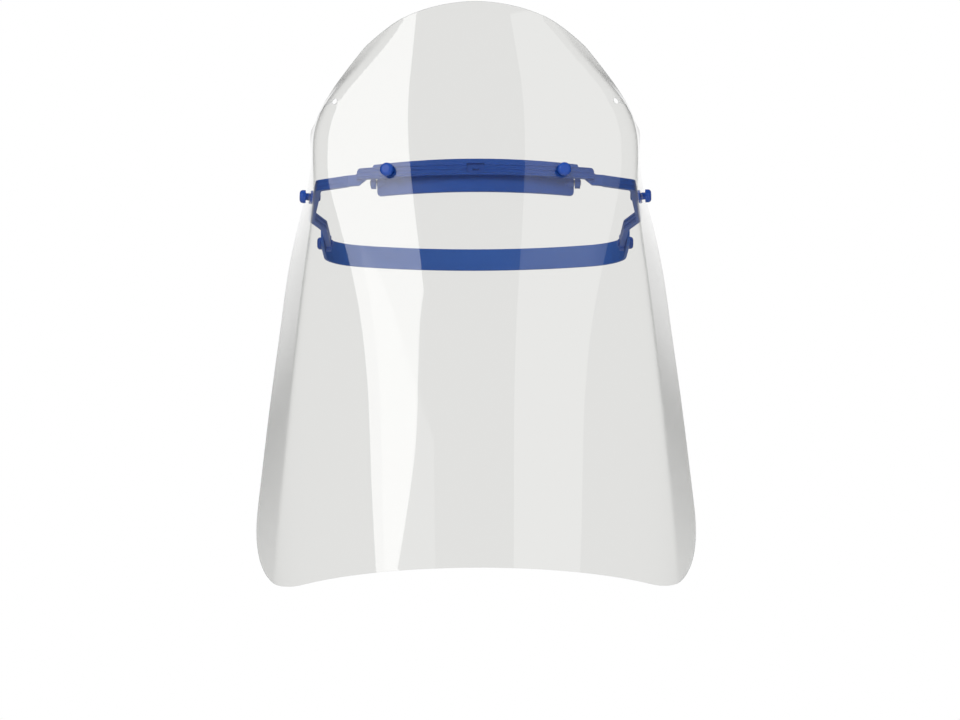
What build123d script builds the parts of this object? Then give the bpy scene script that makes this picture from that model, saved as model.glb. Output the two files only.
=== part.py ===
"""Face shield: a clear visor pushed over the studs of a moulded headband.

Millimetres. The origin is the centre of the head opening, level with the front studs.
+Z is up, the wearer looks along -Y and +X is on the wearer's left.
"""
from build123d import *
from math import asin, atan2, cos, degrees, radians, sin
import os

os.makedirs("parts", exist_ok=True)

# ---- visor sheet
film_thickness = 0.5
film_half_width = 152.4          # half of the flat sheet, measured along its surface
film_top = 84.5                  # top edge above the front studs
film_bottom = -194.5             # bottom edge at the middle
bottom_drop = 12.0               # how much lower the bottom corners are
bottom_corner_radius = 46.0
wing_corner_radius = 15.0
slit_height = 37.0               # the relief slit's lower side
slit_width = 0.6
slit_inner_reach = 72.0          # sheet distance from the middle to the slit's inner end
slit_end_radius = 1.6            # round hole that ends the slit
flap_foot_half = 80.0            # flap's half-width where it meets the slit
flap_shoulder_half = 55.0
flap_shoulder_height = 66.0
flap_shoulder_radius = 16.0

# ---- horizontal sections of the visor: height, front radius and angle, corner radius and angle, front y
# the first and the last are past the sheet's edges and keep the loft even at its ends
film_levels = [
    (115.0, 108.0, 8.0, 9.0, 33.0, -107.5),
    (90.0, 124.0, 12.0, 10.0, 36.0, -112.6),
    (60.0, 147.0, 18.5, 13.0, 40.0, -116.0),
    (slit_height, 165.0, 23.5, 16.0, 57.0, -117.0),
    (0.0, 167.0, 26.5, 10.0, 56.0, -118.0),
    (-60.0, 137.0, 36.6, 13.0, 40.6, -119.0),
    (-110.0, 122.0, 46.7, 16.0, 27.0, -120.0),
    (-165.0, 117.7, 54.3, 20.0, 14.8, -122.0),
    (-218.0, 112.6, 62.6, 24.0, 2.0, -124.5),
    (-272.0, 109.0, 66.0, 26.0, 2.0, -127.0),
]
slit_level = film_levels[3]
stud_level = film_levels[4]
deep_level = film_levels[6]
foot_level = film_levels[8]
spare_leg = 12.0                 # sheet beyond the rear edge, trimmed off

outer_limit = 150.0              # past everything, for cuts that go right through
pick_tolerance = 0.1             # for picking vertices by their place

# ---- headband
film_gap = 0.4                   # visor to the bar's ridges
bar_thickness = 2.6
ridge_height = 0.5
ridge_width = 1.2
ridge_levels = (2.2, 0.3, -1.6)
bar_top = 4.9
bar_bottom = -2.9
bar_top_fall = 1.4               # how much the top edge falls towards its ends
bar_half_width = 50.0
lobe_half_width = 58.0
lobe_top = 2.2
lobe_bottom = -3.2
lobe_slope = 1.0                 # run of the slope between the bar's lower edge and a lobe
lobe_top_radius = 1.8
lobe_bottom_radius = 1.0
bar_step_radius = 0.6
window_radius = 0.6
window_width = 8.6
window_height = 4.6
window_depth = 1.1
catch_width = 3.0
catch_height = 1.4

arm_level = -2.9                 # middle height of the side arms and the side studs
arm_height = 5.3
arm_core = 2.0
arm_ridge = 0.35                 # how far a rib stands out on each face
arm_rib_height = 1.1
arm_corner_radius = 4.0
arm_flare_radius = 12.0
arm_rise_start = 0.5             # where the tongue's top starts to rise, beyond the tongue
arm_rise_end = 0.8               # where it reaches the arm's full height, beyond the lobe
arm_drop_start = 1.0             # where the arm's lower edge starts to rise, inside the lobe's end
hook_clearance = 2.0             # from the hook to the tongue's lower edge
tongue_thickness = 2.0
tongue_inner_half = 35.0
tongue_top = 1.7
tongue_bottom = -2.8
tongue_outer_half = 56.0         # where the curved tongue ends and the side arm starts
tongue_lead = 6.0                # straight run that carries on from the tongue
corner_x, corner_y = 77.6, -90.0     # front corner of the side arm
flare_x, flare_y = 85.0, -12.0       # widest point of the side arm
temple_x, temple_y = 79.6, 14.0      # start of the straight rear stretch
rear_stud_y = 64.0
arm_eye_radius = 4.3

# ---- studs
stud_head_radius = 3.3
stud_head_thickness = 2.9
stud_neck_radius = 1.8
stud_neck_showing = 1.6          # neck between the visor and the head
stud_collar_radius = 2.9
stud_shank_radius = 1.3
stud_foot_radius = 2.1
stud_foot_thickness = 0.8
stud_dome_radius = 1.6
stud_rim_radius = 0.35
bore_margin = 1.0                # how far a bore's cutter passes each face
stud_fit = 0.05                  # radial clearance of a shank in its hole
stud_end_play = 0.05             # slack of a collar and a foot against their support
film_hole_clearance = 0.35       # radial, round a stud's neck
film_seat_gap = 0.15             # a stud's collar to the visor
front_stud_reach = 43.0          # sheet distance from the middle to a front stud
side_stud_reach = 117.0

# ---- tilting brow plate
plate_half_width = 48.2
plate_front_y = -112.4
plate_radius = 110.0
plate_thickness = 2.2
plate_top = 3.7
plate_bottom = -10.4
plate_corner_radius = 2.2
pivot_y = -101.0
pivot_level = -4.0
boss_radius = 2.4
boss_length = 5.5
pin_radius = 1.5
pin_press_radius = 1.1
pin_fit = 0.06
pin_chamfer = 0.3
hook_gap = 0.5                   # plate's end to the hook
hook_width = 2.6
hook_radius = 2.9
hook_mouth = 2.5
hook_reach = 7.0                 # from the pivot forward into the tongue
pin_press_length = 4.5
pin_end = 0.4                    # pin showing beyond the hook
cushion_thickness = 8.0
cushion_margin = 1.5
cushion_half_width = 40.0
cushion_corner_radius = 3.0

# ---- rear strap
strap_thickness = 1.4
strap_height = 12.0
strap_gap = 0.3                  # strap to the side arm's outer face
strap_slide_in = 6.0             # travel towards the front
strap_slide_out = 18.0           # travel towards the back
strap_slot_clearance = 0.25      # each side of the stud's neck
strap_end_margin = 6.0
strap_corner_radius = 30.0
strap_corner_turn = 68.0
strap_reach = 160.0              # longer than the strap is deep
strap_end_flat = 0.1             # a half height less its corner radius, at each end
slot_steps = 4                   # spaces between the adjusting notches
slot_notch = 0.4                 # how far a notch widens the slot on each side

sides = {"right": -1, "left": 1}


def section_centres(level):
    """Centres of the front arc and of the left corner arc of one visor section."""
    height, front_r, front_a, corner_r, corner_a, front_y = level
    turn = radians(front_a)
    front = (0.0, front_y + front_r)
    corner = ((front_r - corner_r) * sin(turn), front[1] - (front_r - corner_r) * cos(turn))
    return front, corner


def on_section(level, reach, inset=0.0):
    """Point at a distance along the left half of a section, with its outward angle from -Y."""
    height, front_r, front_a, corner_r, corner_a, front_y = level
    front, corner = section_centres(level)
    front_length = front_r * radians(front_a)
    corner_length = corner_r * radians(corner_a)
    if reach <= front_length:
        angle = reach / front_r
        centre, radius, run = front, front_r, 0.0
    else:
        angle = radians(front_a) + min(reach - front_length, corner_length) / corner_r
        centre, radius = corner, corner_r
        run = max(reach - front_length - corner_length, 0.0)
    x = centre[0] + (radius - inset) * sin(angle) + run * cos(angle)
    y = centre[1] - (radius - inset) * cos(angle) + run * sin(angle)
    return x, y, degrees(angle)


def section_edges(level, inset, leg):
    """Edges of a whole section, from the left leg's end round the front to the right leg's end."""
    height, front_r, front_a, corner_r, corner_a, front_y = level
    front, corner = section_centres(level)
    total = front_a + corner_a
    turn = radians(total)
    ends = []
    for side in (1, -1):
        start = (
            side * (corner[0] + (corner_r - inset) * sin(turn)),
            corner[1] - (corner_r - inset) * cos(turn),
        )
        end = (start[0] + side * leg * cos(turn), start[1] + leg * sin(turn))
        Line(start, end)
        ends.append(end)
    CenterArc(front, front_r - inset, -90 - front_a, 2 * front_a)
    CenterArc(corner, corner_r - inset, -90 + front_a, corner_a)
    CenterArc((-corner[0], corner[1]), corner_r - inset, -90 - total, corner_a)
    return ends


def leg_length(level):
    """Straight run of sheet behind a section's corner arc."""
    height, front_r, front_a, corner_r, corner_a, front_y = level
    return film_half_width + spare_leg - front_r * radians(front_a) - corner_r * radians(corner_a)


def axis_plane(x, y, height, angle, side):
    """Plane whose normal leaves the headband horizontally at an angle from straight ahead."""
    turn = radians(angle)
    return Plane(
        origin=(side * x, y, height),
        x_dir=(side * cos(turn), sin(turn), 0),
        z_dir=(side * sin(turn), -cos(turn), 0),
    )


# ---- visor
rear_low = on_section(deep_level, film_half_width)
rear_high = on_section(slit_level, film_half_width)
rear_slope = (rear_high[1] - rear_low[1]) / (slit_level[0] - deep_level[0])
rear_foot_z = film_bottom - bottom_drop
rear_foot_y = rear_low[1] + rear_slope * (rear_foot_z - deep_level[0])
front_limit = foot_level[5] - spare_leg
slit_end = on_section(slit_level, slit_inner_reach)

with BuildPart() as visor:
    for level in film_levels:
        with BuildSketch(Plane.XY.offset(level[0])):
            with BuildLine():
                outer = section_edges(level, 0, leg_length(level))
                inner = section_edges(level, film_thickness, leg_length(level))
                Line(outer[0], inner[0])
                Line(outer[1], inner[1])
            make_face()
    loft()
    with BuildSketch(Plane.YZ) as side_outline:
        with BuildLine():
            Polyline(
                (front_limit, film_bottom),
                (foot_level[5], film_bottom),
                (rear_foot_y, rear_foot_z),
                (rear_high[1], slit_height),
                (slit_end[1], slit_height),
                (slit_end[1], slit_height + slit_width),
                (rear_high[1] + spare_leg, slit_height + slit_width),
                (rear_high[1] + spare_leg, film_levels[0][0]),
                (front_limit, film_levels[0][0]),
                close=True,
            )
        make_face()
        fillet(side_outline.vertices().sort_by(Axis.Y)[0], bottom_corner_radius)
        shoulder = side_outline.vertices().filter_by_position(
            Axis.Y, slit_height - pick_tolerance, slit_height + pick_tolerance
        ).sort_by(Axis.X)[-1]
        fillet(shoulder, wing_corner_radius)
    extrude(amount=outer_limit, both=True, mode=Mode.INTERSECT)
    with BuildSketch(Plane.XZ) as flap_outline:
        with BuildLine():
            Polyline(
                (-flap_shoulder_half, flap_shoulder_height),
                (-flap_foot_half, slit_height + slit_width),
                (-outer_limit, slit_height + slit_width / 2),
                (-outer_limit, film_levels[-1][0]),
                (outer_limit, film_levels[-1][0]),
                (outer_limit, slit_height + slit_width / 2),
                (flap_foot_half, slit_height + slit_width),
                (flap_shoulder_half, flap_shoulder_height),
            )
            ThreePointArc(
                (flap_shoulder_half, flap_shoulder_height),
                (0, film_top),
                (-flap_shoulder_half, flap_shoulder_height),
            )
        make_face()
        shoulders = flap_outline.vertices().filter_by_position(
            Axis.Y, flap_shoulder_height - pick_tolerance, flap_shoulder_height + pick_tolerance
        )
        fillet(shoulders, flap_shoulder_radius)
    extrude(amount=outer_limit, both=True, mode=Mode.INTERSECT)
    for side in sides.values():
        for reach, height, radius in (
            (slit_inner_reach, slit_height + slit_width / 2, slit_end_radius),
            (front_stud_reach, 0.0, stud_neck_radius + film_hole_clearance),
            (side_stud_reach, arm_level, stud_neck_radius + film_hole_clearance),
        ):
            x, y, angle = on_section(stud_level if height <= 0 else slit_level, reach)
            with BuildSketch(axis_plane(x, y, height, angle, side)):
                Circle(radius)
            extrude(amount=2 * bar_thickness, both=True, mode=Mode.SUBTRACT)
visor.part.label = "visor"
export_step(visor.part, "parts/visor.step")

# ---- brow bar
band_centre = section_centres(stud_level)[0]
ridge_radius = stud_level[1] - film_thickness - film_gap
bar_front_radius = ridge_radius - ridge_height
bar_rear_radius = ridge_radius - bar_thickness
bar_angle = degrees(asin(lobe_half_width / bar_rear_radius))
band_depth = 40.0


def band_section_plane(angle):
    """Upright plane through the band's centre of curvature, x pointing outwards."""
    turn = radians(angle)
    return Plane(
        origin=(0, band_centre[1], 0),
        x_dir=(sin(turn), -cos(turn), 0),
        z_dir=(-cos(turn), -sin(turn), 0),
    )


def stud_plane(reach, height, radius, side):
    """Plane of a front stud where its axis leaves a face of the curved band."""
    angle = degrees(reach / stud_level[1])
    turn = radians(angle)
    x = band_centre[0] + radius * sin(turn)
    y = band_centre[1] - radius * cos(turn)
    return axis_plane(x, y, height, angle, side)


with BuildPart() as brow_bar:
    with BuildSketch(band_section_plane(-bar_angle)) as bar_profile:
        with Locations(((bar_front_radius + bar_rear_radius) / 2, (bar_top + bar_bottom) / 2)):
            Rectangle(bar_front_radius - bar_rear_radius, bar_top - bar_bottom)
        for height in ridge_levels:
            with Locations((bar_front_radius, height)):
                Ellipse(ridge_height, ridge_width / 2)
    revolve(axis=Axis((0, band_centre[1], 0), (0, 0, 1)), revolution_arc=2 * bar_angle)
    with BuildSketch(Plane.XZ) as bar_outline:
        with BuildLine():
            end_top = bar_top - bar_top_fall
            Polyline(
                (-bar_half_width, end_top),
                (-bar_half_width, lobe_top),
                (-lobe_half_width, lobe_top),
                (-lobe_half_width, lobe_bottom),
                (-bar_half_width, lobe_bottom),
                (-bar_half_width + lobe_slope, bar_bottom),
                (bar_half_width - lobe_slope, bar_bottom),
                (bar_half_width, lobe_bottom),
                (lobe_half_width, lobe_bottom),
                (lobe_half_width, lobe_top),
                (bar_half_width, lobe_top),
                (bar_half_width, end_top),
            )
            ThreePointArc((bar_half_width, end_top), (0, bar_top), (-bar_half_width, end_top))
        make_face()
        lobe_ends = bar_outline.vertices().filter_by(lambda v: abs(v.X) > lobe_half_width - pick_tolerance)
        fillet(lobe_ends.filter_by(lambda v: v.Y > 0), lobe_top_radius)
        fillet(lobe_ends.filter_by(lambda v: v.Y < 0), lobe_bottom_radius)
        steps = bar_outline.vertices().filter_by(
            lambda v: abs(abs(v.X) - bar_half_width) < pick_tolerance and v.Y > 0
        )
        fillet(steps, bar_step_radius)
    extrude(amount=outer_limit, both=True, mode=Mode.INTERSECT)
    with BuildSketch(Plane.XZ.offset(-band_centre[1] + bar_front_radius - window_depth)):
        with Locations((0, ridge_levels[1])):
            RectangleRounded(window_width, window_height, window_radius)
            Rectangle(catch_width, catch_height, mode=Mode.SUBTRACT)
    extrude(amount=band_depth, mode=Mode.SUBTRACT)
    for side in sides.values():
        with BuildSketch(stud_plane(front_stud_reach, 0, bar_rear_radius, side)):
            Circle(stud_shank_radius + stud_fit)
        extrude(amount=2 * bar_thickness, both=True, mode=Mode.SUBTRACT)
brow_bar.part.label = "brow_bar"
export_step(brow_bar.part, "parts/brow_bar.step")

# ---- side arms
tongue_radius = bar_rear_radius - tongue_thickness / 2
tongue_in = degrees(asin(tongue_inner_half / tongue_radius))
tongue_out = degrees(asin(tongue_outer_half / tongue_radius))
joint_x = tongue_radius * sin(radians(tongue_out))
joint_y = band_centre[1] - tongue_radius * cos(radians(tongue_out))
knee_x = joint_x + tongue_lead * cos(radians(tongue_out))
knee_y = joint_y + tongue_lead * sin(radians(tongue_out))
arm_half = arm_core / 2 + arm_ridge
arm_top = arm_level + arm_height / 2
arm_bottom = arm_level - arm_height / 2
arm_run_angle = degrees(atan2(flare_y - corner_y, flare_x - corner_x))

side_x, side_y, side_angle = on_section(stud_level, side_stud_reach, film_thickness)


def distance_to_arm():
    """Distance from the visor's inner face back to the side arm's outer face, on the stud's axis."""
    turn = radians(side_angle)
    back = (-sin(turn), cos(turn))
    run = radians(arm_run_angle)
    normal = (sin(run), -cos(run))
    start = (side_x - corner_x) * normal[0] + (side_y - corner_y) * normal[1]
    closing = -(back[0] * normal[0] + back[1] * normal[1])
    return (start - arm_half) / closing


side_gap = distance_to_arm()
hook_inner = plate_half_width + hook_gap


def arm_route(start):
    """Plan route of the left side arm from a point near its knee to its rear end."""
    FilletPolyline(
        start,
        (corner_x, corner_y),
        (flare_x, flare_y),
        (temple_x, temple_y),
        (temple_x, rear_stud_y),
        radius=(arm_corner_radius, arm_flare_radius, arm_flare_radius),
    )


def save_pair(name, piece):
    """Write the left piece and its mirror image for the right side."""
    piece.part.label = f"left_{name}"
    export_step(piece.part, f"parts/left_{name}.step")
    with BuildPart() as twin:
        mirror(piece.part, about=Plane.YZ)
    twin.part.label = f"right_{name}"
    export_step(twin.part, f"parts/right_{name}.step")


rear_stud_plane = axis_plane(temple_x + arm_half, rear_stud_y, arm_level, 90, 1)
side_turn = radians(side_angle)
side_stud_plane = axis_plane(
    side_x - side_gap * sin(side_turn), side_y + side_gap * cos(side_turn), arm_level, side_angle, 1
)
front_stud_plane = stud_plane(front_stud_reach, 0, ridge_radius, 1)
front_support = ridge_radius - bar_rear_radius + tongue_thickness

with BuildPart() as side_arm:
    # tongue behind the bar, then the arm's plain core
    with BuildSketch(Plane.XY.offset(arm_bottom)):
        with BuildLine() as route:
            CenterArc(
                (0, band_centre[1]), tongue_radius, -90 + tongue_in, tongue_out - tongue_in
            )
            Line((joint_x, joint_y), (knee_x, knee_y))
            arm_route((knee_x, knee_y))
        trace(route.edges(), line_width=arm_core)
    extrude(amount=tongue_top - arm_bottom)
    with BuildSketch(Plane.XZ):
        with BuildLine():
            Polyline(
                (0, tongue_top),
                (tongue_outer_half + arm_rise_start, tongue_top),
                (lobe_half_width + arm_rise_end, arm_top),
                (outer_limit, arm_top),
                (outer_limit, arm_bottom),
                (lobe_half_width - arm_drop_start, arm_bottom),
                (hook_inner + hook_width + hook_clearance, tongue_bottom),
                (0, tongue_bottom),
                close=True,
            )
        make_face()
    extrude(amount=outer_limit, both=True, mode=Mode.INTERSECT)
    # ribs along both faces
    for level in (arm_bottom, arm_level - arm_rib_height / 2, arm_top - arm_rib_height):
        with BuildSketch(Plane.XY.offset(level)):
            with BuildLine() as rib_route:
                arm_route((knee_x + tongue_lead / 4, knee_y + tongue_lead / 4))
            trace(rib_route.edges(), line_width=2 * arm_half)
        extrude(amount=arm_rib_height)
    # round eye for the rear stud
    with BuildSketch(rear_stud_plane.offset(-2 * arm_half)):
        Circle(arm_eye_radius)
    extrude(amount=2 * arm_half)
    # snap hook that carries the brow plate's pivot
    with BuildSketch(Plane.YZ.offset(hook_inner)):
        with Locations((pivot_y, pivot_level)):
            Circle(hook_radius)
        with Locations((pivot_y - hook_reach / 2, tongue_bottom / 2)):
            Rectangle(hook_reach, -tongue_bottom)
        with Locations((pivot_y, pivot_level)):
            Circle(pin_radius + pin_fit, mode=Mode.SUBTRACT)
        with Locations((pivot_y, pivot_level - hook_radius)):
            Rectangle(hook_mouth, 2 * hook_radius, mode=Mode.SUBTRACT)
    extrude(amount=hook_width)
    # trims whatever of the hook would stand forward of the tongue
    with BuildSketch(Plane.XY.offset(pivot_level - hook_radius)):
        with Locations((0, band_centre[1])):
            Circle(2 * tongue_radius)
            Circle(bar_rear_radius, mode=Mode.SUBTRACT)
    extrude(amount=tongue_top - pivot_level + hook_radius, mode=Mode.SUBTRACT)
    for seat, depth in (
        (front_stud_plane, front_support),
        (side_stud_plane, 2 * arm_half),
        (rear_stud_plane, 2 * arm_half),
    ):
        with BuildSketch(seat.offset(bore_margin)):
            Circle(stud_shank_radius + stud_fit)
        extrude(amount=-depth - 2 * bore_margin, mode=Mode.SUBTRACT)
save_pair("side_arm", side_arm)

# ---- mushroom studs
strap_inner = temple_x + arm_half + strap_gap
stud_kinds = {
    # name: seat, support thickness, top of the collar, height of the head's underside
    "front_stud": (
        front_stud_plane,
        front_support,
        film_gap - film_seat_gap,
        film_gap + film_thickness + stud_neck_showing,
    ),
    "side_stud": (
        side_stud_plane,
        2 * arm_half,
        side_gap - film_seat_gap,
        side_gap + film_thickness + stud_neck_showing,
    ),
    "rear_stud": (rear_stud_plane, 2 * arm_half, 0, 2 * strap_gap + strap_thickness),
}
for kind, (seat, support, collar, neck) in stud_kinds.items():
    foot = -support - stud_end_play
    steps = [
        (foot - stud_foot_thickness, foot, stud_foot_radius),
        (foot, stud_end_play, stud_shank_radius),
        (stud_end_play, neck, stud_neck_radius),
        (neck, neck + stud_head_thickness, stud_head_radius),
    ]
    if collar > stud_end_play:
        steps.append((stud_end_play, collar, stud_collar_radius))
    with BuildPart() as stud:
        for low, high, radius in steps:
            with BuildSketch(seat.offset(low)):
                Circle(radius)
            extrude(amount=high - low)
        rims = stud.edges().filter_by(GeomType.CIRCLE)
        rims = rims.sort_by(lambda e: seat.to_local_coords(e.center()).Z)
        fillet(rims[-1], stud_dome_radius)
        fillet(rims[-2], stud_rim_radius)
        chamfer(rims[0], stud_foot_thickness / 2)
    save_pair(kind, stud)

# ---- brow plate, its pivot pins and its cushion
plate_centre_y = plate_front_y + plate_radius
plate_middle = (plate_top + plate_bottom) / 2
plate_height = plate_top - plate_bottom
boss_x = plate_half_width - boss_length

with BuildPart() as brow_plate:
    with BuildSketch(Plane.XY.offset(plate_bottom)):
        with Locations((0, plate_centre_y)):
            Circle(plate_radius)
            Circle(plate_radius - plate_thickness, mode=Mode.SUBTRACT)
    extrude(amount=plate_height)
    with BuildSketch(Plane.XZ.offset(-plate_centre_y)):
        with Locations((0, plate_middle)):
            RectangleRounded(2 * plate_half_width, plate_height, plate_corner_radius)
    extrude(amount=2 * plate_radius, mode=Mode.INTERSECT)
    for side in sides.values():
        with BuildSketch(Plane.YZ.offset(side * boss_x)):
            with Locations((pivot_y, pivot_level)):
                Circle(boss_radius)
        extrude(amount=side * boss_length)
        with BuildSketch(Plane.YZ.offset(side * plate_half_width)):
            with Locations((pivot_y, pivot_level)):
                Circle(pin_press_radius)
        extrude(amount=-side * pin_press_length, mode=Mode.SUBTRACT)
brow_plate.part.label = "brow_plate"
export_step(brow_plate.part, "parts/brow_plate.step")

with BuildPart() as pivot_pin:
    with BuildSketch(Plane.YZ.offset(plate_half_width - pin_press_length)):
        with Locations((pivot_y, pivot_level)):
            Circle(pin_press_radius)
    extrude(amount=pin_press_length)
    with BuildSketch(Plane.YZ.offset(plate_half_width)):
        with Locations((pivot_y, pivot_level)):
            Circle(pin_radius)
    extrude(amount=hook_gap + hook_width + pin_end)
    chamfer(pivot_pin.faces().sort_by(Axis.X)[-1].edges(), pin_chamfer)
save_pair("pivot_pin", pivot_pin)

with BuildPart() as brow_cushion:
    with BuildSketch(Plane.XY.offset(plate_bottom + cushion_margin)):
        with Locations((0, plate_centre_y)):
            Circle(plate_radius - plate_thickness)
            Circle(plate_radius - plate_thickness - cushion_thickness, mode=Mode.SUBTRACT)
    extrude(amount=plate_height - 2 * cushion_margin)
    with BuildSketch(Plane.XZ.offset(-plate_centre_y)):
        with Locations((0, plate_middle)):
            RectangleRounded(
                2 * cushion_half_width, plate_height - 2 * cushion_margin, cushion_corner_radius
            )
    extrude(amount=2 * plate_radius, mode=Mode.INTERSECT)
brow_cushion.part.label = "brow_cushion"
export_step(brow_cushion.part, "parts/brow_cushion.step")

# ---- rear strap
strap_x = strap_inner + strap_thickness / 2
slot_half_height = stud_neck_radius + strap_slot_clearance
strap_front = rear_stud_y - strap_slide_out - slot_half_height - strap_end_margin
strap_bend = rear_stud_y + strap_slide_in + slot_half_height + strap_end_margin / 2
turn = radians(strap_corner_turn)
strap_arc_x = strap_x - strap_corner_radius * (1 - cos(turn))
strap_arc_y = strap_bend + strap_corner_radius * sin(turn)
back_turn = radians(90 - strap_corner_turn)
back_radius = strap_arc_x / sin(back_turn)
strap_back = strap_arc_y + back_radius * (1 - cos(back_turn))

with BuildPart() as rear_strap:
    with BuildSketch(Plane.XY.offset(arm_level - strap_height / 2)):
        with BuildLine() as strap_route:
            for side in sides.values():
                Line((side * strap_x, strap_front), (side * strap_x, strap_bend))
                half = turn / 2
                ThreePointArc(
                    (side * strap_x, strap_bend),
                    (
                        side * (strap_x - strap_corner_radius * (1 - cos(half))),
                        strap_bend + strap_corner_radius * sin(half),
                    ),
                    (side * strap_arc_x, strap_arc_y),
                )
            ThreePointArc((-strap_arc_x, strap_arc_y), (0, strap_back), (strap_arc_x, strap_arc_y))
        trace(strap_route.edges(), line_width=strap_thickness)
    extrude(amount=strap_height)
    with BuildSketch(Plane.YZ):
        with Locations((strap_front + strap_reach / 2, arm_level)):
            RectangleRounded(strap_reach, strap_height, strap_height / 2 - strap_end_flat)
    extrude(amount=outer_limit, both=True, mode=Mode.INTERSECT)
    slot_length = strap_slide_in + strap_slide_out + 2 * slot_half_height
    slot_middle = rear_stud_y + (strap_slide_in - strap_slide_out) / 2
    with BuildSketch(Plane.YZ):
        with Locations((slot_middle, arm_level)):
            SlotOverall(slot_length, 2 * slot_half_height)
        for step in range(slot_steps + 1):
            reach = -strap_slide_out + step * (strap_slide_in + strap_slide_out) / slot_steps
            with Locations((rear_stud_y + reach, arm_level)):
                Circle(slot_half_height + slot_notch)
    extrude(amount=outer_limit, both=True, mode=Mode.SUBTRACT)
rear_strap.part.label = "rear_strap"
export_step(rear_strap.part, "parts/rear_strap.step")
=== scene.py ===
"""Looks of a clear face shield: sheet, headband, studs, brow cushion and studio.

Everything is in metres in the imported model's own frame: +Z is up and the wearer looks along -Y.
"""

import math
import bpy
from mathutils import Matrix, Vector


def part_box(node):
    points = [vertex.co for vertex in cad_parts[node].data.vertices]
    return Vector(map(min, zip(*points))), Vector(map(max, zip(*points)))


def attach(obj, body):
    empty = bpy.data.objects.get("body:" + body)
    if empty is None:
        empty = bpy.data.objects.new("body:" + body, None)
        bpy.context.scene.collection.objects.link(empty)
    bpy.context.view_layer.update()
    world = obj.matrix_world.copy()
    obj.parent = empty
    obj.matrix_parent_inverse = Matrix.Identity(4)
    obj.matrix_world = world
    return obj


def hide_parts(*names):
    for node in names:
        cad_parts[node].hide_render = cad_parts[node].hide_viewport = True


bl_info = {
    "name": "Face shield",
    "version": (1, 0, 0),
    "blender": (4, 5, 0),
    "location": "3D View > Sidebar > Face shield",
    "description": "Builds the sheet, cushion, finishes and studio of a clear face shield",
    "category": "Object",
}

import bpy
import numpy as np
from bpy.props import FloatProperty, FloatVectorProperty, PointerProperty
from mathutils import Vector, geometry

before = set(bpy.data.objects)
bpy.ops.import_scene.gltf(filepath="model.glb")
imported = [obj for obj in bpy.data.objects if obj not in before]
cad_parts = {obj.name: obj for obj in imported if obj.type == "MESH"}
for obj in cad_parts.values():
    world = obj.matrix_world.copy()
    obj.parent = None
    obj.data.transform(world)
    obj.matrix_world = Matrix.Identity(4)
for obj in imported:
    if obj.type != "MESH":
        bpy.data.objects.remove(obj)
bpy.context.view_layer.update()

MM = 0.001
SIDES = ("left", "right")

# Level sections of the sheet, lowest first, in mm and degrees:
# height, front radius, front angle, corner radius, corner angle, front y.
# The first and the last are past the sheet's edges and guide the curve through the others.
SECTIONS = np.array(
    (
        (-272.0, 109.0, 66.0, 26.0, 2.0, -127.0),
        (-218.0, 112.6, 62.6, 24.0, 2.0, -124.5),
        (-165.0, 117.7, 54.3, 20.0, 14.8, -122.0),
        (-110.0, 122.0, 46.7, 16.0, 27.0, -120.0),
        (-60.0, 137.0, 36.6, 13.0, 40.6, -119.0),
        (0.0, 167.0, 26.5, 10.0, 56.0, -118.0),
        (37.0, 165.0, 23.5, 16.0, 57.0, -117.0),
        (60.0, 147.0, 18.5, 13.0, 40.0, -116.0),
        (90.0, 124.0, 12.0, 10.0, 36.0, -112.6),
        (115.0, 108.0, 8.0, 9.0, 33.0, -107.5),
    )
)
# Cut outline of the sheet, in mm
SHEET_HALF = 152.4  # half of the flat width, along the surface
TOP = 84.5
BOTTOM = -194.5
BOTTOM_DROP = 12.0
BOTTOM_FRONT_Y = -124.5
BOTTOM_CORNER = 46.0
WING_CORNER = 15.0
REAR_EDGE_ROWS = (-110.0, 37.0)  # the rear edge is straight through the sheet's sides here
SLIT_LOW, SLIT_HIGH = 37.0, 37.6
SLIT_REACH = 72.0
SLIT_HOLE = 1.6
FLAP_FOOT = 80.0
FLAP_SHOULDER = (55.0, 66.0)
FLAP_CORNER = 16.0
STUD_HOLES = ((43.0, 0.0), (117.0, -2.9))  # distance along the sheet, height
STUD_HOLE_RADIUS = 2.15
REACH_LIMIT = 170.0  # past the sheet's sides, for the search in reach_where
HALVINGS = 40  # steps of that search
HOLE_STEP = 0.5  # spacing of the mesh round a stud hole
RIM_CLEARANCE = 0.6  # share of the mesh pitch kept free inside the cut outline
GRID_STRETCH = 1.5  # the mesh is this much coarser up the sheet than across it
CHUNK = 64  # outline points compared with the grid at a time
WELD = 1e-6
SMOOTH_BELOW = math.radians(40)  # the cut edges are sharper than this

# Back of the brow plate, that the cushion is glued to, in metres
PLATE_CENTRE_Y = -2.4 * MM
PLATE_BACK_RADIUS = 107.8 * MM

# Foam strip, in metres; the shares are of its full height and thickness
STRIP_THICKNESS = 8 * MM
STRIP_END = 3 * MM  # length over which each end rounds over
STRIP_END_HEIGHT = 0.7
STRIP_END_THICKNESS = 0.25
STRIP_SLIMMER = 0.03  # how much lower the strip gets towards its ends
STRIP_ROWS, STRIP_RING = 121, 72  # points along the strip and round it
EDGE_ACROSS, EDGE_THROUGH = 0.5, 0.45  # roundness of the strip's section; 1 is an ellipse

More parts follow.
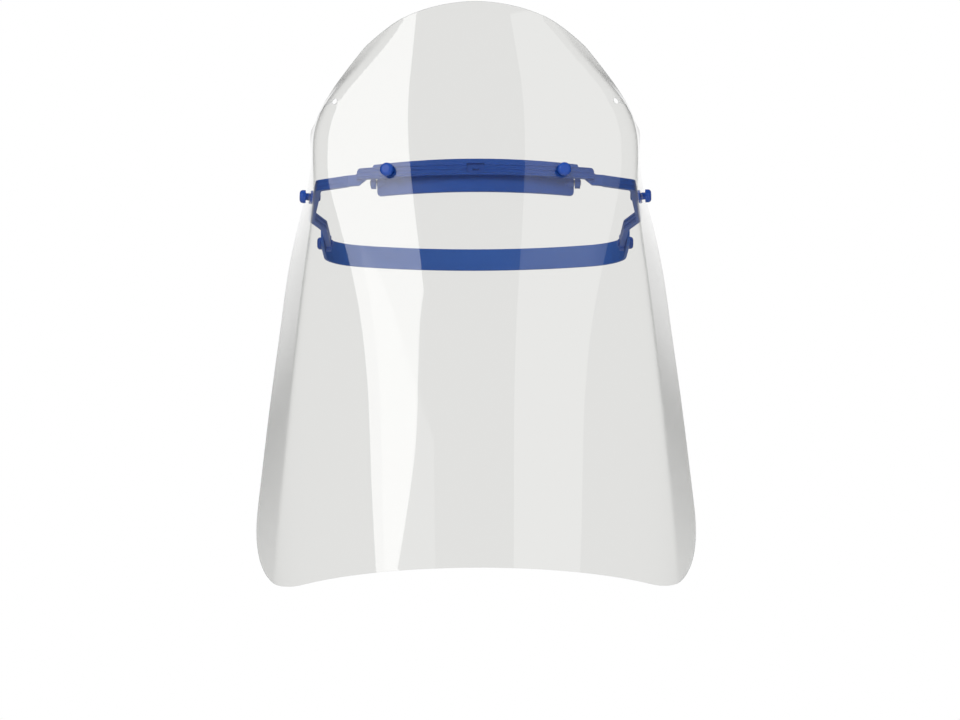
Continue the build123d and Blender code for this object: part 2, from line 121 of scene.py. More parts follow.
# Studio, in metres, degrees and radiance
# name, middle, size, roll, radiance, seen in reflections
LIGHTS = (
    ("key_left", (-1.15, -1.35, 0.62), (1.0, 1.1), 20, 2.1, True),
    ("fill_left_low", (-0.95, -1.5, 0.02), (0.8, 0.35), 0, 0.35, True),
    ("side_right", (1.0, -1.45, 0.35), (1.1, 1.3), 0, 0.6, True),
    ("front_fill", (0.0, -2.2, 0.9), (1.6, 1.0), 0, 5.0, False),
    ("top_fill", (0.0, 0.2, 1.6), (1.6, 1.6), 0, 2.0, False),
)
LIGHTS_AIM = Vector((0.0, -0.08, -0.03))
CAMERA_PLACE = (-0.002, -1.588, -0.314)
CAMERA_TURN = (98.5, 0.15, -0.13)
CAMERA_SENSOR = 36.0
CAMERA_CLIP = (0.05, 60.0)
FLOOR_RADIUS = 9.0
FLOOR_RINGS, FLOOR_SPOKES = 24, 96
FLOOR_SPREAD = 1.6  # the rings lie closer together in the middle
WALL_START, WALL_FULL = 0.86, 0.97  # how nearly straight ahead the mirrored white wall begins


# ---------------------------------------------------------------- colours and nodes
def linear(text):
    """Linear red, green, blue of an sRGB hex colour."""
    parts = [int(text[i : i + 2], 16) / 255 for i in (0, 2, 4)]
    return tuple(c / 12.92 if c <= 0.04045 else ((c + 0.055) / 1.055) ** 2.4 for c in parts)


def add(tree, kind, inputs=None, **settings):
    """Adds a shader node with its settings; an input is a value or another node's socket."""
    node = tree.nodes.new("ShaderNode" + kind)
    for name, value in settings.items():
        setattr(node, name, value)
    for name, value in (inputs or {}).items():
        if isinstance(value, bpy.types.NodeSocket):
            tree.links.new(value, node.inputs[name])
        else:
            node.inputs[name].default_value = value
    return node


def new_material(name):
    """An empty node material and its tree."""
    material = bpy.data.materials.new(name)
    material.use_nodes = True
    material.node_tree.nodes.clear()
    return material, material.node_tree


def output(tree, surface):
    """Ends a material with its surface."""
    add(tree, "OutputMaterial", {"Surface": surface})


def per_metre(millimetres):
    """Texture scale that repeats once in a length."""
    return 1 / (millimetres * MM)


def tone(tree, mask, colour, darker, lighter):
    """A colour that a mask between 0 and 1 shades a little down and up."""
    return add(
        tree,
        "Mix",
        {
            "Factor": mask,
            6: (*(c * darker for c in colour), 1),
            7: (*(min(c * lighter, 1.0) for c in colour), 1),
        },
        data_type="RGBA",
    ).outputs[2]


def between(tree, mask, low, high):
    """A value that a mask moves from low to high."""
    return add(tree, "MapRange", {"Value": mask, "To Min": low, "To Max": high}).outputs["Result"]


# ---------------------------------------------------------------- materials
def clear_polyester_sheet(look):
    """Extruded clear polyester: a faint grey cast, mirror-sharp gloss and slight rolling waves."""
    material, tree = new_material("clear_polyester_sheet")
    place = add(tree, "TexCoord").outputs["Object"]
    # rollers leave waves a few centimetres long and a few thousandths of a millimetre high
    waves = add(
        tree, "TexNoise", {"Vector": place, "Scale": per_metre(38), "Detail": 1.0, "Roughness": 0.4}
    )
    bump = add(
        tree, "Bump", {"Height": waves.outputs["Fac"], "Strength": 0.5, "Distance": look.wave}
    )
    # share mirrored by one face: rises from straight on to edge on
    straight_on = ((look.ior - 1) / (look.ior + 1)) ** 2
    tilt = add(tree, "LayerWeight", {"Blend": 0.5}).outputs["Facing"]
    rise = add(tree, "Math", {0: tilt, 1: 5.0}, operation="POWER").outputs[0]
    share = between(tree, rise, straight_on, 1.0)
    gloss = add(
        tree,
        "BsdfGlossy",
        {"Color": (1, 1, 1, 1), "Roughness": look.roughness, "Normal": bump.outputs[0]},
    )
    clear = add(tree, "BsdfTransparent", {"Color": (*look.tint, 1)})
    mix = add(tree, "MixShader", {0: share, 1: clear.outputs[0], 2: gloss.outputs[0]})
    output(tree, mix.outputs[0])
    return material


def cut_polyester_edge(look):
    """Die-cut polyester edge: the cut is slightly frosted, so it gathers light and reads as a line."""
    material, tree = new_material("cut_polyester_edge")
    place = add(tree, "TexCoord").outputs["Object"]
    # shear marks of the die, a quarter of a millimetre apart
    marks = add(
        tree, "TexNoise", {"Vector": place, "Scale": per_metre(0.25), "Detail": 2.0}
    ).outputs["Fac"]
    bump = add(tree, "Bump", {"Height": marks, "Strength": 0.4, "Distance": 0.00005})
    shell = add(
        tree,
        "BsdfPrincipled",
        {
            "Base Color": tone(tree, marks, look.edge_colour, 0.9, 1.0),
            "Roughness": between(tree, marks, 0.25, 0.45),
            "IOR": 1.57,
            "Normal": bump.outputs[0],
        },
    )
    clear = add(tree, "BsdfTransparent", {"Color": (0.9, 0.9, 0.9, 1)})
    mix = add(tree, "MixShader", {0: 0.5, 1: clear.outputs[0], 2: shell.outputs[0]})
    output(tree, mix.outputs[0])
    return material


def moulded_plastic(name, colour, roughness, grain_mm, edge_mm):
    """Injection-moulded plastic: satin blue with a fine spark-eroded grain and soft edges."""
    material, tree = new_material(name)
    place = add(tree, "TexCoord").outputs["Object"]
    # melt flow leaves long soft streaks about a centimetre wide along the band
    stretched = add(tree, "Mapping", {"Vector": place, "Scale": (0.25, 0.6, 1.0)}).outputs[0]
    flow = add(
        tree, "TexNoise", {"Vector": stretched, "Scale": per_metre(9), "Detail": 3.0}
    ).outputs["Fac"]
    # the mould's grain is 0.05 mm, drawn coarser so that it shows
    grain = add(
        tree, "TexNoise", {"Vector": place, "Scale": per_metre(grain_mm), "Detail": 2.0}
    ).outputs["Fac"]
    rounding = add(tree, "Bevel", {"Radius": edge_mm * MM}, samples=4).outputs[0]
    bump = add(
        tree,
        "Bump",
        {"Height": grain, "Strength": 0.35, "Distance": 0.00004, "Normal": rounding},
    )
    shell = add(
        tree,
        "BsdfPrincipled",
        {
            "Base Color": tone(tree, flow, colour, 0.9, 1.12),
            "Roughness": between(tree, flow, roughness - 0.05, roughness + 0.07),
            "IOR": 1.49,
            "Normal": bump.outputs[0],
        },
    )
    shell.inputs["Subsurface Weight"].default_value = 0.08
    shell.inputs["Subsurface Radius"].default_value = (0.2, 0.4, 1.0)
    shell.inputs["Subsurface Scale"].default_value = 0.0008
    output(tree, shell.outputs[0])
    return material


def drawn_stainless_wire():
    """Cold-drawn stainless wire: bright metal with fine lines along its length."""
    material, tree = new_material("drawn_stainless_wire")
    place = add(tree, "TexCoord").outputs["Object"]
    # the drawing die's lines run along x, 0.1 mm apart
    along = add(tree, "Mapping", {"Vector": place, "Scale": (0.03, 1.0, 1.0)}).outputs[0]
    lines = add(
        tree, "TexNoise", {"Vector": along, "Scale": per_metre(0.1), "Detail": 2.0}
    ).outputs["Fac"]
    bump = add(tree, "Bump", {"Height": lines, "Strength": 0.3, "Distance": 0.00002})
    steel = add(
        tree,
        "BsdfPrincipled",
        {
            "Base Color": tone(tree, lines, linear("C4C6C8"), 0.88, 1.05),
            "Metallic": 1.0,
            "Roughness": between(tree, lines, 0.2, 0.36),
            "Normal": bump.outputs[0],
        },
    )
    output(tree, steel.outputs[0])
    return material


def skived_foam(colour):
    """Closed-cell foam cut from a block: matt and dark, pitted all over with opened cells."""
    material, tree = new_material("skived_closed_cell_foam")
    place = add(tree, "TexCoord").outputs["Object"]
    # cells are 0.3 mm, drawn at 0.7 mm so that they show
    cells = add(
        tree, "TexVoronoi", {"Vector": place, "Scale": per_metre(0.7)}, feature="SMOOTH_F1"
    ).outputs["Distance"]
    pits = add(tree, "MapRange", {"Value": cells, "From Min": 0.1, "From Max": 0.6}).outputs[0]
    blotch = add(
        tree, "TexNoise", {"Vector": place, "Scale": per_metre(6), "Detail": 3.0}
    ).outputs["Fac"]
    bump = add(tree, "Bump", {"Height": pits, "Strength": 0.7, "Distance": 0.00025}, invert=True)
    # painted shade: the foam's colour is lighter where the bump leaves the surface raised and darker
    # where the pits mask sinks it, standing in for shadow in the opened cells
    pit_shaded_foam_colour = tone(tree, pits, colour, 1.5, 0.75)
    shade = add(
        tree,
        "Mix",
        {"Factor": between(tree, blotch, 0.0, 0.35), 6: pit_shaded_foam_colour, 7: (*(c * 0.6 for c in colour), 1)},
        data_type="RGBA",
    ).outputs[2]
    foam = add(
        tree,
        "BsdfPrincipled",
        {
            "Base Color": shade,
            "Roughness": between(tree, pits, 0.95, 0.75),
            "IOR": 1.45,
            "Normal": bump.outputs[0],
        },
    )
    foam.inputs["Sheen Weight"].default_value = 0.25
    foam.inputs["Sheen Roughness"].default_value = 0.6
    output(tree, foam.outputs[0])
    return material


def matt_studio_paper(colour):
    """Pale background paper: matt, with a faint fibre mottle."""
    material, tree = new_material("matt_studio_paper")
    place = add(tree, "TexCoord").outputs["Object"]
    fibre = add(
        tree, "TexNoise", {"Vector": place, "Scale": per_metre(4), "Detail": 3.0}
    ).outputs["Fac"]
    paper = add(
        tree,
        "BsdfPrincipled",
        {"Base Color": tone(tree, fibre, colour, 0.985, 1.01), "Roughness": 0.9},
    )
    output(tree, paper.outputs[0])
    return material


# ---------------------------------------------------------------- sheet geometry
def spline(knots, values, places):
    """Natural cubic spline through rows of values at knots."""
    gaps = np.diff(knots)
    count = len(knots)
    matrix = np.eye(count)
    right = np.zeros_like(values)
    for i in range(1, count - 1):
        matrix[i, i - 1 : i + 2] = gaps[i - 1], 2 * (gaps[i - 1] + gaps[i]), gaps[i]
        after = (values[i + 1] - values[i]) / gaps[i]
        before = (values[i] - values[i - 1]) / gaps[i - 1]
        right[i] = 6 * (after - before)
    bend = np.linalg.solve(matrix, right)
    k = np.clip(np.searchsorted(knots, places) - 1, 0, count - 2)
    gap = gaps[k][:, None]
    up = (places - knots[k])[:, None] / gap
    down = 1 - up
    curve = (up**3 - up) * bend[k + 1] + (down**3 - down) * bend[k]
    return up * values[k + 1] + down * values[k] + curve * gap**2 / 6


def on_sheet(reach, height):
    """Points of the sheet's outer face, in mm, at distances from the middle and heights."""
    reach, height = np.broadcast_arrays(np.asarray(reach, float), np.asarray(height, float))
    side = np.where(reach < 0, -1.0, 1.0).ravel()
    along, up = np.abs(reach).ravel(), height.ravel()
    rows = spline(SECTIONS[:, 0], SECTIONS[:, 1:], up)
    front_r, front_a, corner_r, corner_a, front_y = rows.T
    front_a, corner_a = np.radians(front_a), np.radians(corner_a)
    front_end = front_r * front_a
    corner_end = front_end + corner_r * corner_a
    in_front = along <= front_end
    turn = np.where(
        in_front, along / front_r, front_a + (np.minimum(along, corner_end) - front_end) / corner_r
    )
    run = np.maximum(along - corner_end, 0.0)
    radius = np.where(in_front, front_r, corner_r)
    offset = np.where(in_front, 0.0, front_r - corner_r)
    x = offset * np.sin(front_a) + radius * np.sin(turn) + run * np.cos(turn)
    y = front_y + front_r - offset * np.cos(front_a) - radius * np.cos(turn) + run * np.sin(turn)
    return np.stack((side * x, y, up), 1)


def outwards(reach, height, step=0.05):
    """Unit normals of the sheet's outer face."""
    along = on_sheet(reach + step, height) - on_sheet(reach - step, height)
    rise = on_sheet(reach, height + step) - on_sheet(reach, height - step)
    normal = np.cross(along, rise)
    return normal / np.linalg.norm(normal, axis=1)[:, None]


def reach_where(axis, value, height):
    """Distance along the sheet where its x (axis 0) or y (axis 1) has a value."""
    low, high = np.zeros(len(value)), np.full(len(value), REACH_LIMIT)
    for _ in range(HALVINGS):
        middle = (low + high) / 2
        beyond = on_sheet(middle, height)[:, axis] > value
        low, high = np.where(beyond, low, middle), np.where(beyond, middle, high)
    return (low + high) / 2


def arc(centre, radius, start, end, step):
    """Points along an arc, ends included; angles in radians."""
    count = max(2, math.ceil(abs(end - start) * radius / step) + 1)
    turn = np.linspace(start, end, count)
    return np.stack((centre[0] + radius * np.cos(turn), centre[1] + radius * np.sin(turn)), 1)


def rounded(before, corner, after, radius, step):
    """Points of the arc that rounds a corner between two straight edges."""
    corner = np.array(corner)
    back, ahead = np.array(before) - corner, np.array(after) - corner
    back, ahead = back / np.linalg.norm(back), ahead / np.linalg.norm(ahead)
    half = math.acos(np.clip(back @ ahead, -1, 1)) / 2
    middle = (back + ahead) / np.linalg.norm(back + ahead)
    centre = corner + middle * radius / math.sin(half)
    first = corner + back * radius / math.tan(half) - centre
    last = corner + ahead * radius / math.tan(half) - centre
    start, end = math.atan2(first[1], first[0]), math.atan2(last[1], last[0])
    if abs(end - start) > math.pi:
        end -= math.copysign(2 * math.pi, end - start)
    return arc(centre, radius, start, end, step)


def straight(start, end, step):
    """Points along a line, ends included."""
    count = max(2, math.ceil(math.dist(start, end) / step) + 1)
    return np.linspace(start, end, count)


def side_path(step):
    """Bottom edge, rear edge and wing corner of the left half, as (y, height) seen from the side."""
    low, high = (float(on_sheet(SHEET_HALF, row)[0, 1]) for row in REAR_EDGE_ROWS)
    slope = (high - low) / (REAR_EDGE_ROWS[1] - REAR_EDGE_ROWS[0])
    foot_z = BOTTOM - BOTTOM_DROP
    foot = (low + slope * (foot_z - REAR_EDGE_ROWS[0]), foot_z)
    front = (BOTTOM_FRONT_Y, BOTTOM)
    top = (high, SLIT_LOW)
    slit = (float(on_sheet(SLIT_REACH, SLIT_LOW)[0, 1]), SLIT_LOW)
    lower = rounded(front, foot, top, BOTTOM_CORNER, step)
    upper = rounded(foot, top, slit, WING_CORNER, step)
    return front, lower, upper


def flap_path(step):
    """Side and top edge of the flap's left half, as (x, height) seen from the front."""
    foot, shoulder = np.array((FLAP_FOOT, SLIT_HIGH)), np.array(FLAP_SHOULDER)
    rise = TOP - shoulder[1]
    dome = (shoulder[0] ** 2 + rise**2) / (2 * rise)
    middle = np.array((0.0, TOP - dome))
    along = (shoulder - foot) / np.linalg.norm(shoulder - foot)
    inwards = np.array((-along[1], along[0]))
    start = foot + inwards * FLAP_CORNER - middle
    # the corner's centre is one corner radius inside both the straight side and the dome
    half = start @ along
    travel = -half + math.sqrt(half**2 - start @ start + (dome - FLAP_CORNER) ** 2)
    centre = start + along * travel + middle
    first, last = -inwards, (centre - middle) / np.linalg.norm(centre - middle)
    turns = [math.atan2(v[1], v[0]) for v in (first, last)]
    return np.concatenate(
        (
            straight(foot, centre + first * FLAP_CORNER, step),
            arc(centre, FLAP_CORNER, *turns, step),
            arc(middle, dome, turns[1], math.pi / 2, step),
        )
    )


def half_outline(step):
    """Cut outline of the left half as (distance along the sheet, height), from bottom to top."""
    front, lower, upper = side_path(step)
    slope = (lower[0, 1] - front[1]) / (lower[0, 0] - front[0])
    lower_reach = reach_where(1, lower[:, 0], lower[:, 1])
    bottom_reach = np.linspace(0, lower_reach[0], math.ceil(lower_reach[0] / step) + 1)
    bottom = np.full(len(bottom_reach), BOTTOM)
    for _ in range(6):
        bottom = BOTTOM + slope * (on_sheet(bottom_reach, bottom)[:, 1] - front[0])
    rear = straight(lower[-1], upper[0], step)
    rear_reach = reach_where(1, rear[:, 0], rear[:, 1])
    upper_reach = reach_where(1, upper[:, 0], upper[:, 1])
    middle = (SLIT_LOW + SLIT_HIGH) / 2
    opening = math.asin((SLIT_HIGH - SLIT_LOW) / 2 / SLIT_HOLE)
    hole = arc((SLIT_REACH, middle), SLIT_HOLE, -opening, opening - 2 * math.pi, step / 4)
    flap = flap_path(step)
    flap_reach = reach_where(0, flap[:, 0], flap[:, 1])
    parts = (
        np.stack((bottom_reach, bottom), 1),
        np.stack((lower_reach, lower[:, 1]), 1),
        np.stack((rear_reach, rear[:, 1]), 1),
        np.stack((upper_reach, upper[:, 1]), 1),
        straight((upper_reach[-1], SLIT_LOW), hole[0], step),
        hole,
        straight(hole[-1], (flap_reach[0], SLIT_HIGH), step),
        np.stack((flap_reach, flap[:, 1]), 1),
    )
    path = np.concatenate(parts)
    keep = np.r_[True, np.linalg.norm(np.diff(path, axis=0), axis=1) > step / 20]
    return path[keep]


def inside(points, loop):
    """Whether each point lies inside a closed loop."""
    found = np.zeros(len(points), bool)
    x, y = points.T
    for a, b in zip(loop, np.roll(loop, -1, 0)):
        crosses = (a[1] > y) != (b[1] > y)
        if a[1] != b[1]:
            found ^= crosses & (x < (b[0] - a[0]) * (y - a[1]) / (b[1] - a[1]) + a[0])
    return found


def sheet_pattern(step):
    """Flat mesh of the cut sheet: points as (distance from the middle, height) and triangles."""
    half = half_outline(step)
    half[-1, 0] = half[0, 0] = 0.0
    outer = np.concatenate((half, (half * (-1, 1))[-2:0:-1]))
    loops = [outer]
    for side in (1, -1):
        for reach, height in STUD_HOLES:
            loops.append(arc((side * reach, height), STUD_HOLE_RADIUS, 0, 2 * math.pi, HOLE_STEP)[:-1])
    grid_x = np.arange(-SHEET_HALF - step, SHEET_HALF + step, step)
    grid_y = np.arange(BOTTOM - 2 * BOTTOM_DROP, TOP, step * GRID_STRETCH)
    grid = np.stack(np.meshgrid(grid_x, grid_y), -1).reshape(-1, 2)
    rim = np.concatenate(loops)
    wanted = inside(grid, outer)
    for start in range(0, len(rim), CHUNK):
        part = rim[start : start + CHUNK]
        gap = np.linalg.norm(grid[:, None] - part[None], axis=2).min(1)
        near = gap < step * RIM_CLEARANCE
        wanted &= ~near
    for loop in loops[1:]:
        wanted &= ~inside(grid, loop)
    points = np.concatenate((rim, grid[wanted]))
    edges, first = [], 0
    for loop in loops:
        ids = list(range(first, first + len(loop)))
        edges += list(zip(ids, ids[1:] + ids[:1]))
        first += len(loop)
    found = geometry.delaunay_2d_cdt([Vector(p) for p in points], edges, [], 0, WELD)
    flat = np.array([tuple(v) for v in found[0]])
    triangles = np.array(found[2])
    middles = flat[triangles].mean(1)
    kept = inside(middles, outer)
    for loop in loops[1:]:
        kept &= ~inside(middles, loop)
    triangles = triangles[kept]
    a, b, c = (flat[triangles[:, i]] for i in range(3))
    turned = np.cross(b - a, c - a) < 0
    triangles[turned] = triangles[turned][:, ::-1]
    return flat, triangles


def rim_edges(triangles):
    """Directed edges that only one triangle has."""
    pairs = np.concatenate((triangles[:, [0, 1]], triangles[:, [1, 2]], triangles[:, [2, 0]]))
    known = {tuple(p) for p in pairs}
    return [p for p in known if (p[1], p[0]) not in known]


def mesh_object(name, vertices, faces):
    mesh = bpy.data.meshes.new(name)
    mesh.from_pydata([tuple(v) for v in vertices], [], [tuple(f) for f in faces])
    mesh.validate()
    obj = bpy.data.objects.new(name, mesh)
    bpy.context.scene.collection.objects.link(obj)
    return obj


def finish_node(node, material):
    """Gives a frame node one finish."""
    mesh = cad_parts[node].data
    mesh.materials.clear()
    mesh.materials.append(material)


# ---------------------------------------------------------------- settings
class SheetSettings(bpy.types.PropertyGroup):
    thickness: FloatProperty(
        name="Thickness",
        description="Gauge of the clear sheet",
        default=0.0005,
        min=0.0001,
        unit="LENGTH",
    )
    pitch: FloatProperty(
        name="Mesh pitch",
        description="Spacing of the sheet's mesh across its width",
        default=0.002,
        min=0.001,
        unit="LENGTH",
    )
    wave: FloatProperty(
        name="Wave height",
        description="Height of the waves that rolling leaves in the sheet",
        default=0.00003,
        min=0.0,
        unit="LENGTH",
    )
    ior: FloatProperty(
        name="Refractive index",
        description="Refractive index of polyester",
        default=1.57,
        min=1.0,
        max=3.0,
    )
    roughness: FloatProperty(
        name="Roughness",
        description="Roughness of the sheet's faces",
        default=0.02,
        min=0.0,
        max=1.0,
        subtype="FACTOR",
    )
    tint: FloatVectorProperty(
        name="Tint",
        description="What each face of the sheet lets through",
        default=linear("F4F4F3"),
        min=0.0,
        max=1.0,
        subtype="COLOR",
    )
    edge_colour: FloatVectorProperty(
        name="Edge colour",
        description="Colour of the frosted cut edge",
        default=linear("F0F2F2"),
        min=0.0,
        max=1.0,
        subtype="COLOR",
    )


class HeadbandSettings(bpy.types.PropertyGroup):
    band_colour: FloatVectorProperty(
        name="Band colour",
        description="Polypropylene of the bar, the arms and the brow plate",
        default=linear("1F56B4"),
        min=0.0,
        max=1.0,
        subtype="COLOR",
    )
    # The studs are the same blue plastic as the band; this slightly darker blue is painted shade, not
    # a different plastic.
    stud_blue_with_painted_shade: FloatVectorProperty(
        name="Stud colour",
        description="Polypropylene of the push-in studs",
        default=linear("1B4AA6"),
        min=0.0,
        max=1.0,
        subtype="COLOR",
    )
    strap_colour: FloatVectorProperty(
        name="Strap colour",
        description="Flexible plastic of the rear strap",
        default=linear("2459AE"),
        min=0.0,
        max=1.0,
        subtype="COLOR",
    )


class CushionSettings(bpy.types.PropertyGroup):
    colour: FloatVectorProperty(
        name="Colour",
        description="Colour of the foam",
        default=linear("34363A"),
        min=0.0,
        max=1.0,
        subtype="COLOR",
    )
    crown: FloatProperty(
        name="Crown",
        description="How much the free face bulges in the middle",
        default=0.0008,
        min=0.0,
        unit="LENGTH",
    )


class StudioSettings(bpy.types.PropertyGroup):
    floor_level: FloatProperty(
        name="Floor level",
        description="Height of the floor, below the shield on its wearer",
        default=-0.42,
        unit="LENGTH",
    )
    floor_colour: FloatVectorProperty(
        name="Floor colour",
        description="Colour of the floor paper",
        default=linear("F2F2F0"),
        min=0.0,
        max=1.0,
        subtype="COLOR",
    )
    room: FloatProperty(
        name="Room",
        description="Brightness of the dim room around the lights",
        default=0.16,
        min=0.0,
    )
    lens: FloatProperty(
        name="Lens",
        description="Focal length of the camera",
        default=115.9,
        min=1.0,
        unit="CAMERA",
    )


# ---------------------------------------------------------------- operators
class FACESHIELD_OT_sheet(bpy.types.Operator):
    """Build the clear sheet with its slits, holes and cut edges"""

    bl_idname = "faceshield.sheet"
    bl_label = "Clear sheet"

    def execute(self, context):
        look = context.scene.faceshield_sheet
        flat, triangles = sheet_pattern(look.pitch / MM)
        outer = on_sheet(flat[:, 0], flat[:, 1])
        inner = outer - outwards(flat[:, 0], flat[:, 1]) * (look.thickness / MM)
        count = len(flat)
        rim = [(b, a, a + count, b + count) for a, b in rim_edges(triangles)]
        faces = [*triangles, *(triangles[:, ::-1] + count), *rim]
        sheet = mesh_object("clear_sheet", np.concatenate((outer, inner)) * MM, faces)
        mesh = sheet.data
        mesh.materials.append(clear_polyester_sheet(look))
        mesh.materials.append(cut_polyester_edge(look))
        slots = [0] * (2 * len(triangles)) + [1] * len(rim)
        mesh.polygons.foreach_set("material_index", slots)
        mesh.shade_smooth()
        mesh.set_sharp_from_angle(angle=SMOOTH_BELOW)
        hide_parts("visor")
        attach(sheet, "headband")
        return {"FINISHED"}


class FACESHIELD_OT_headband(bpy.types.Operator):
    """Finish the bar, side arms, brow plate, studs, pins and rear strap"""

    bl_idname = "faceshield.headband"
    bl_label = "Headband finishes"

    def execute(self, context):
        look = context.scene.faceshield_headband
        # name, colour, roughness, grain and softened edge in mm
        band = moulded_plastic("moulded_polypropylene_band", look.band_colour, 0.36, 0.3, 0.25)
        # the studs get the band's blue darkened a little, as painted shade
        stud = moulded_plastic("moulded_polypropylene_stud", look.stud_blue_with_painted_shade, 0.25, 0.25, 0.15)
        strap = moulded_plastic("moulded_polyethylene_strap", look.strap_colour, 0.42, 0.4, 0.2)
        wire = drawn_stainless_wire()
        for node in ("brow_bar", "brow_plate"):
            finish_node(node, band)
        for side in SIDES:
            finish_node(f"{side}_side_arm", band)
            finish_node(f"{side}_pivot_pin", wire)
            for place in ("front", "side", "rear"):
                finish_node(f"{side}_{place}_stud", stud)
        finish_node("rear_strap", strap)
        return {"FINISHED"}


class FACESHIELD_OT_cushion(bpy.types.Operator):
    """Build the foam strip behind the brow plate"""

    bl_idname = "faceshield.cushion"
    bl_label = "Brow cushion"

    def execute(self, context):
        look = context.scene.faceshield_cushion
        low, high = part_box("brow_cushion")
        back = PLATE_BACK_RADIUS
        half_turn = math.asin(high.x / back)
        middle, half_height = (low.z + high.z) / 2, (high.z - low.z) / 2
        rows, ring = STRIP_ROWS, STRIP_RING
        vertices, faces = [], []
        for i in range(rows):
            t = -1 + 2 * i / (rows - 1)
            # ends round over in the last few millimetres, and the strip is a little slimmer there
            end = 1 - abs(t)
            close = min(1.0, end * half_turn * back / STRIP_END)
            shrink = math.sqrt(max(0.0, 1 - (1 - close) ** 2))
            height = half_height * (STRIP_END_HEIGHT + (1 - STRIP_END_HEIGHT) * shrink)
            height *= 1 - STRIP_SLIMMER * abs(t) ** 3
            thick = STRIP_THICKNESS * (STRIP_END_THICKNESS + (1 - STRIP_END_THICKNESS) * shrink)
            thick -= look.crown * abs(t) ** 2.5
            turn = t * half_turn
            for j in range(ring):
                a = 2 * math.pi * j / ring
                c, s = math.cos(a), math.sin(a)
                across = math.copysign(abs(c) ** EDGE_ACROSS, c)
                through = math.copysign(abs(s) ** EDGE_THROUGH, s)
                crown = look.crown * (1 - across**2) if s > 0 else 0.0
                depth = (through + 1) / 2 * (thick - look.crown) + crown
                radius = back - depth
                vertices.append(
                    (
                        radius * math.sin(turn),
                        PLATE_CENTRE_Y - radius * math.cos(turn),
                        middle + across * height,
                    )
                )
        for i in range(rows - 1):
            for j in range(ring):
                a, b = i * ring + j, i * ring + (j + 1) % ring
                faces.append((a, b, b + ring, a + ring))
        faces.append(tuple(range(ring))[::-1])
        faces.append(tuple(range((rows - 1) * ring, rows * ring)))
        cushion = mesh_object("foam_cushion", vertices, faces)
        cushion.data.materials.append(skived_foam(look.colour))
        cushion.data.shade_smooth()
        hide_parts("brow_cushion")
        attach(cushion, "brow_rest")
        return {"FINISHED"}


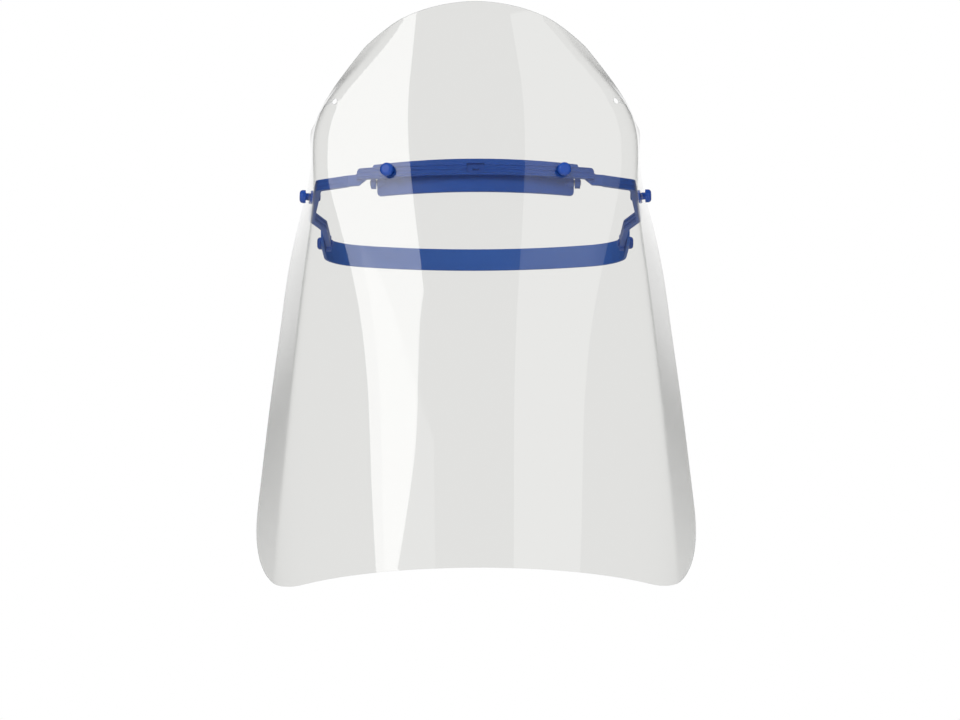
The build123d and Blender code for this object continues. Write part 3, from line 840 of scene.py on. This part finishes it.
class FACESHIELD_OT_studio(bpy.types.Operator):
    """Set up the floor, the soft lights, the surroundings and the camera"""

    bl_idname = "faceshield.studio"
    bl_label = "Studio"

    def execute(self, context):
        look = context.scene.faceshield_studio
        self.make_floor(look)
        self.make_world(context.scene, look)
        for light in LIGHTS:
            self.make_light(context.scene, *light)
        self.make_camera(context.scene, look)
        context.scene.view_settings.view_transform = "Standard"
        return {"FINISHED"}

    def make_floor(self, look):
        """A disc of paper below the shield."""
        rings, spokes = FLOOR_RINGS, FLOOR_SPOKES
        vertices, faces = [(0, 0, look.floor_level)], []
        for i in range(1, rings + 1):
            for j in range(spokes):
                a = 2 * math.pi * j / spokes
                r = FLOOR_RADIUS * (i / rings) ** FLOOR_SPREAD
                vertices.append((r * math.cos(a), r * math.sin(a), look.floor_level))
        for j in range(spokes):
            faces.append((0, 1 + j, 1 + (j + 1) % spokes))
        for i in range(rings - 1):
            first, second = 1 + i * spokes, 1 + (i + 1) * spokes
            for j in range(spokes):
                k = (j + 1) % spokes
                faces.append((first + j, second + j, second + k, first + k))
        floor = mesh_object("floor_paper", vertices, faces)
        floor.data.materials.append(matt_studio_paper(look.floor_colour))

    def make_world(self, scene, look):
        """Plain white behind the shield and a dim room for everything that it mirrors."""
        world = bpy.data.worlds.new("studio_room")
        world.use_nodes = True
        tree = world.node_tree
        tree.nodes.clear()
        direction = add(tree, "TexCoord").outputs["Generated"]
        ahead = add(tree, "SeparateXYZ", {0: direction}).outputs["Y"]
        wall = add(
            tree,
            "MapRange",
            {"Value": ahead, "From Min": WALL_START, "From Max": WALL_FULL, "To Min": look.room},
            interpolation_type="SMOOTHSTEP",
        ).outputs["Result"]
        seen = add(tree, "LightPath").outputs["Is Camera Ray"]
        room = add(tree, "Background", {"Color": (1, 1, 1, 1), "Strength": wall})
        white = add(tree, "Background", {"Color": (1, 1, 1, 1), "Strength": 1.0})
        mix = add(tree, "MixShader", {0: seen, 1: room.outputs[0], 2: white.outputs[0]})
        add(tree, "OutputWorld", {"Surface": mix.outputs[0]})
        scene.world = world

    def make_light(self, scene, name, place, size, roll, radiance, mirrored):
        """A soft rectangular light that faces the shield."""
        lamp = bpy.data.lights.new(name, "AREA")
        lamp.shape = "RECTANGLE"
        lamp.size, lamp.size_y = size
        lamp.energy = radiance * math.pi * size[0] * size[1]
        obj = bpy.data.objects.new(name, lamp)
        scene.collection.objects.link(obj)
        obj.location = place
        aim = LIGHTS_AIM - Vector(place)
        obj.rotation_euler = aim.to_track_quat("-Z", "Y").to_euler()
        obj.rotation_euler.rotate_axis("Z", math.radians(roll))
        obj.visible_camera = False
        obj.visible_glossy = mirrored

    def make_camera(self, scene, look):
        """The camera, low in front of the shield."""
        data = bpy.data.cameras.new("camera")
        data.lens, data.sensor_width = look.lens, CAMERA_SENSOR
        data.clip_start, data.clip_end = CAMERA_CLIP
        camera = bpy.data.objects.new("camera", data)
        scene.collection.objects.link(camera)
        camera.location = CAMERA_PLACE
        camera.rotation_euler = [math.radians(angle) for angle in CAMERA_TURN]
        scene.camera = camera


class FACESHIELD_PT_panel(bpy.types.Panel):
    """Buttons that build the face shield's looks"""

    bl_idname = "FACESHIELD_PT_panel"
    bl_label = "Face shield"
    bl_space_type = "VIEW_3D"
    bl_region_type = "UI"
    bl_category = "Face shield"

    def draw(self, context):
        for operator, settings in STEPS:
            box = self.layout.box()
            box.operator(operator.bl_idname)
            group = getattr(context.scene, settings)
            for name in group.bl_rna.properties.keys():
                if name not in {"rna_type", "name"}:
                    box.prop(group, name)


STEPS = (
    (FACESHIELD_OT_sheet, "faceshield_sheet"),
    (FACESHIELD_OT_headband, "faceshield_headband"),
    (FACESHIELD_OT_cushion, "faceshield_cushion"),
    (FACESHIELD_OT_studio, "faceshield_studio"),
)
SETTINGS = (
    ("faceshield_sheet", SheetSettings),
    ("faceshield_headband", HeadbandSettings),
    ("faceshield_cushion", CushionSettings),
    ("faceshield_studio", StudioSettings),
)


def register():
    for name, group in SETTINGS:
        bpy.utils.register_class(group)
        setattr(bpy.types.Scene, name, PointerProperty(type=group))
    for operator, _ in STEPS:
        bpy.utils.register_class(operator)
    bpy.utils.register_class(FACESHIELD_PT_panel)


def unregister():
    bpy.utils.unregister_class(FACESHIELD_PT_panel)
    for operator, _ in reversed(STEPS):
        bpy.utils.unregister_class(operator)
    for name, group in reversed(SETTINGS):
        delattr(bpy.types.Scene, name)
        bpy.utils.unregister_class(group)


def main():
    register()
    for operator, _ in STEPS:
        family, action = operator.bl_idname.split(".")
        getattr(getattr(bpy.ops, family), action)()


if __name__ == "__main__":
    main()
